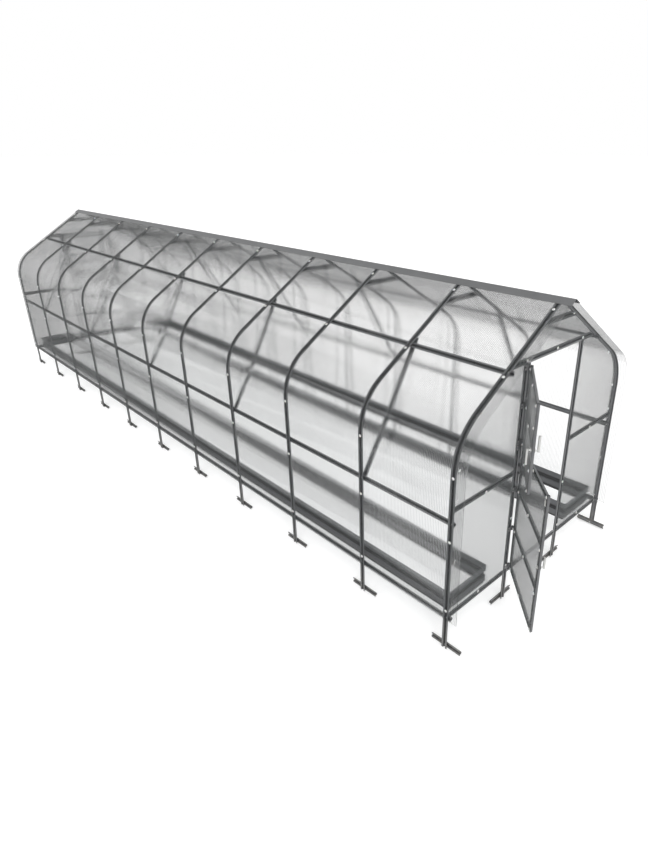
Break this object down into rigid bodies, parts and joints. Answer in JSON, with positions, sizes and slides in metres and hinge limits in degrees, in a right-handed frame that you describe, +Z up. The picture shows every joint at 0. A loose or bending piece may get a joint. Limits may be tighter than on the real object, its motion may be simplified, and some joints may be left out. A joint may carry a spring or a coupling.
{
  "type": "polycarbonate greenhouse",
  "caption": "Long walk-in greenhouse with a pitched roof on rounded shoulders, steel arches on foot bars, twin-wall sheet, raised beds and a two-leaf door in each end.",
  "frame": {"origin": "on the floor, at the middle of the box round the whole part with the front leaves open", "axes": "+X across to the right as seen from the open door, +Y along the ridge away from the open door, +Z up"},
  "size_m": [2.538, 10.7562, 2.7125],
  "materials": {
    "frame_steel": "matt graphite paint on roll-formed steel",
    "polycarbonate": "clear twin-wall sheet",
    "handle_steel": "zinc-plated",
    "bed_board": "matt paint on pressed steel sheet"
  },
  "bodies": {
    "house": {"rib_01": "frame_steel", "rib_02": "frame_steel", "rib_03": "frame_steel", "rib_04": "frame_steel", "rib_05": "frame_steel", "rib_06": "frame_steel", "rib_07": "frame_steel", "rib_08": "frame_steel", "rib_09": "frame_steel", "rib_10": "frame_steel", "rib_11": "frame_steel", "base_rail_left": "frame_steel", "base_rail_right": "frame_steel", "wall_purlin_left": "frame_steel", "wall_purlin_right": "frame_steel", "roof_purlin_left": "frame_steel", "roof_purlin_right": "frame_steel", "ridge_cap": "frame_steel", "collar_ties": "frame_steel", "knee_braces_left": "frame_steel", "knee_braces_right": "frame_steel", "foot_bars_left": "frame_steel", "foot_bars_right": "frame_steel", "foot_bars_ends": "frame_steel", "door_posts": "frame_steel", "end_cross_bars": "frame_steel", "side_sheets_left": "polycarbonate", "side_sheets_right": "polycarbonate", "front_sheets": "polycarbonate", "back_sheets": "polycarbonate", "bed_edging_left": "bed_board", "bed_edging_right": "bed_board"},
    "front_lower_door": {"front_lower_frame": "frame_steel", "front_lower_sheet": "polycarbonate", "front_lower_handle": "handle_steel"},
    "front_upper_door": {"front_upper_frame": "frame_steel", "front_upper_sheet": "polycarbonate", "front_upper_handle": "handle_steel"},
    "back_lower_door": {"back_lower_frame": "frame_steel", "back_lower_sheet": "polycarbonate", "back_lower_handle": "handle_steel"},
    "back_upper_door": {"back_upper_frame": "frame_steel", "back_upper_sheet": "polycarbonate", "back_upper_handle": "handle_steel"}
  },
  "joints": [
    {"name": "front_lower_hinge", "type": "hinge", "parent": "house", "child": "front_lower_door", "pos_m": [-0.401, -4.77989, 0], "axis": [0, 0, -1], "range_deg": [-134.5, 25.5]},
    {"name": "front_upper_hinge", "type": "hinge", "parent": "house", "child": "front_upper_door", "pos_m": [-0.401, -4.77989, 0], "axis": [0, 0, -1], "range_deg": [-145, 15]},
    {"name": "back_lower_hinge", "type": "hinge", "parent": "house", "child": "back_lower_door", "pos_m": [-0.401, 5.23611, 0], "axis": [0, 0, 1], "range_deg": [0, 160]},
    {"name": "back_upper_hinge", "type": "hinge", "parent": "house", "child": "back_upper_door", "pos_m": [-0.401, 5.23611, 0], "axis": [0, 0, 1], "range_deg": [0, 160]}
  ]
}
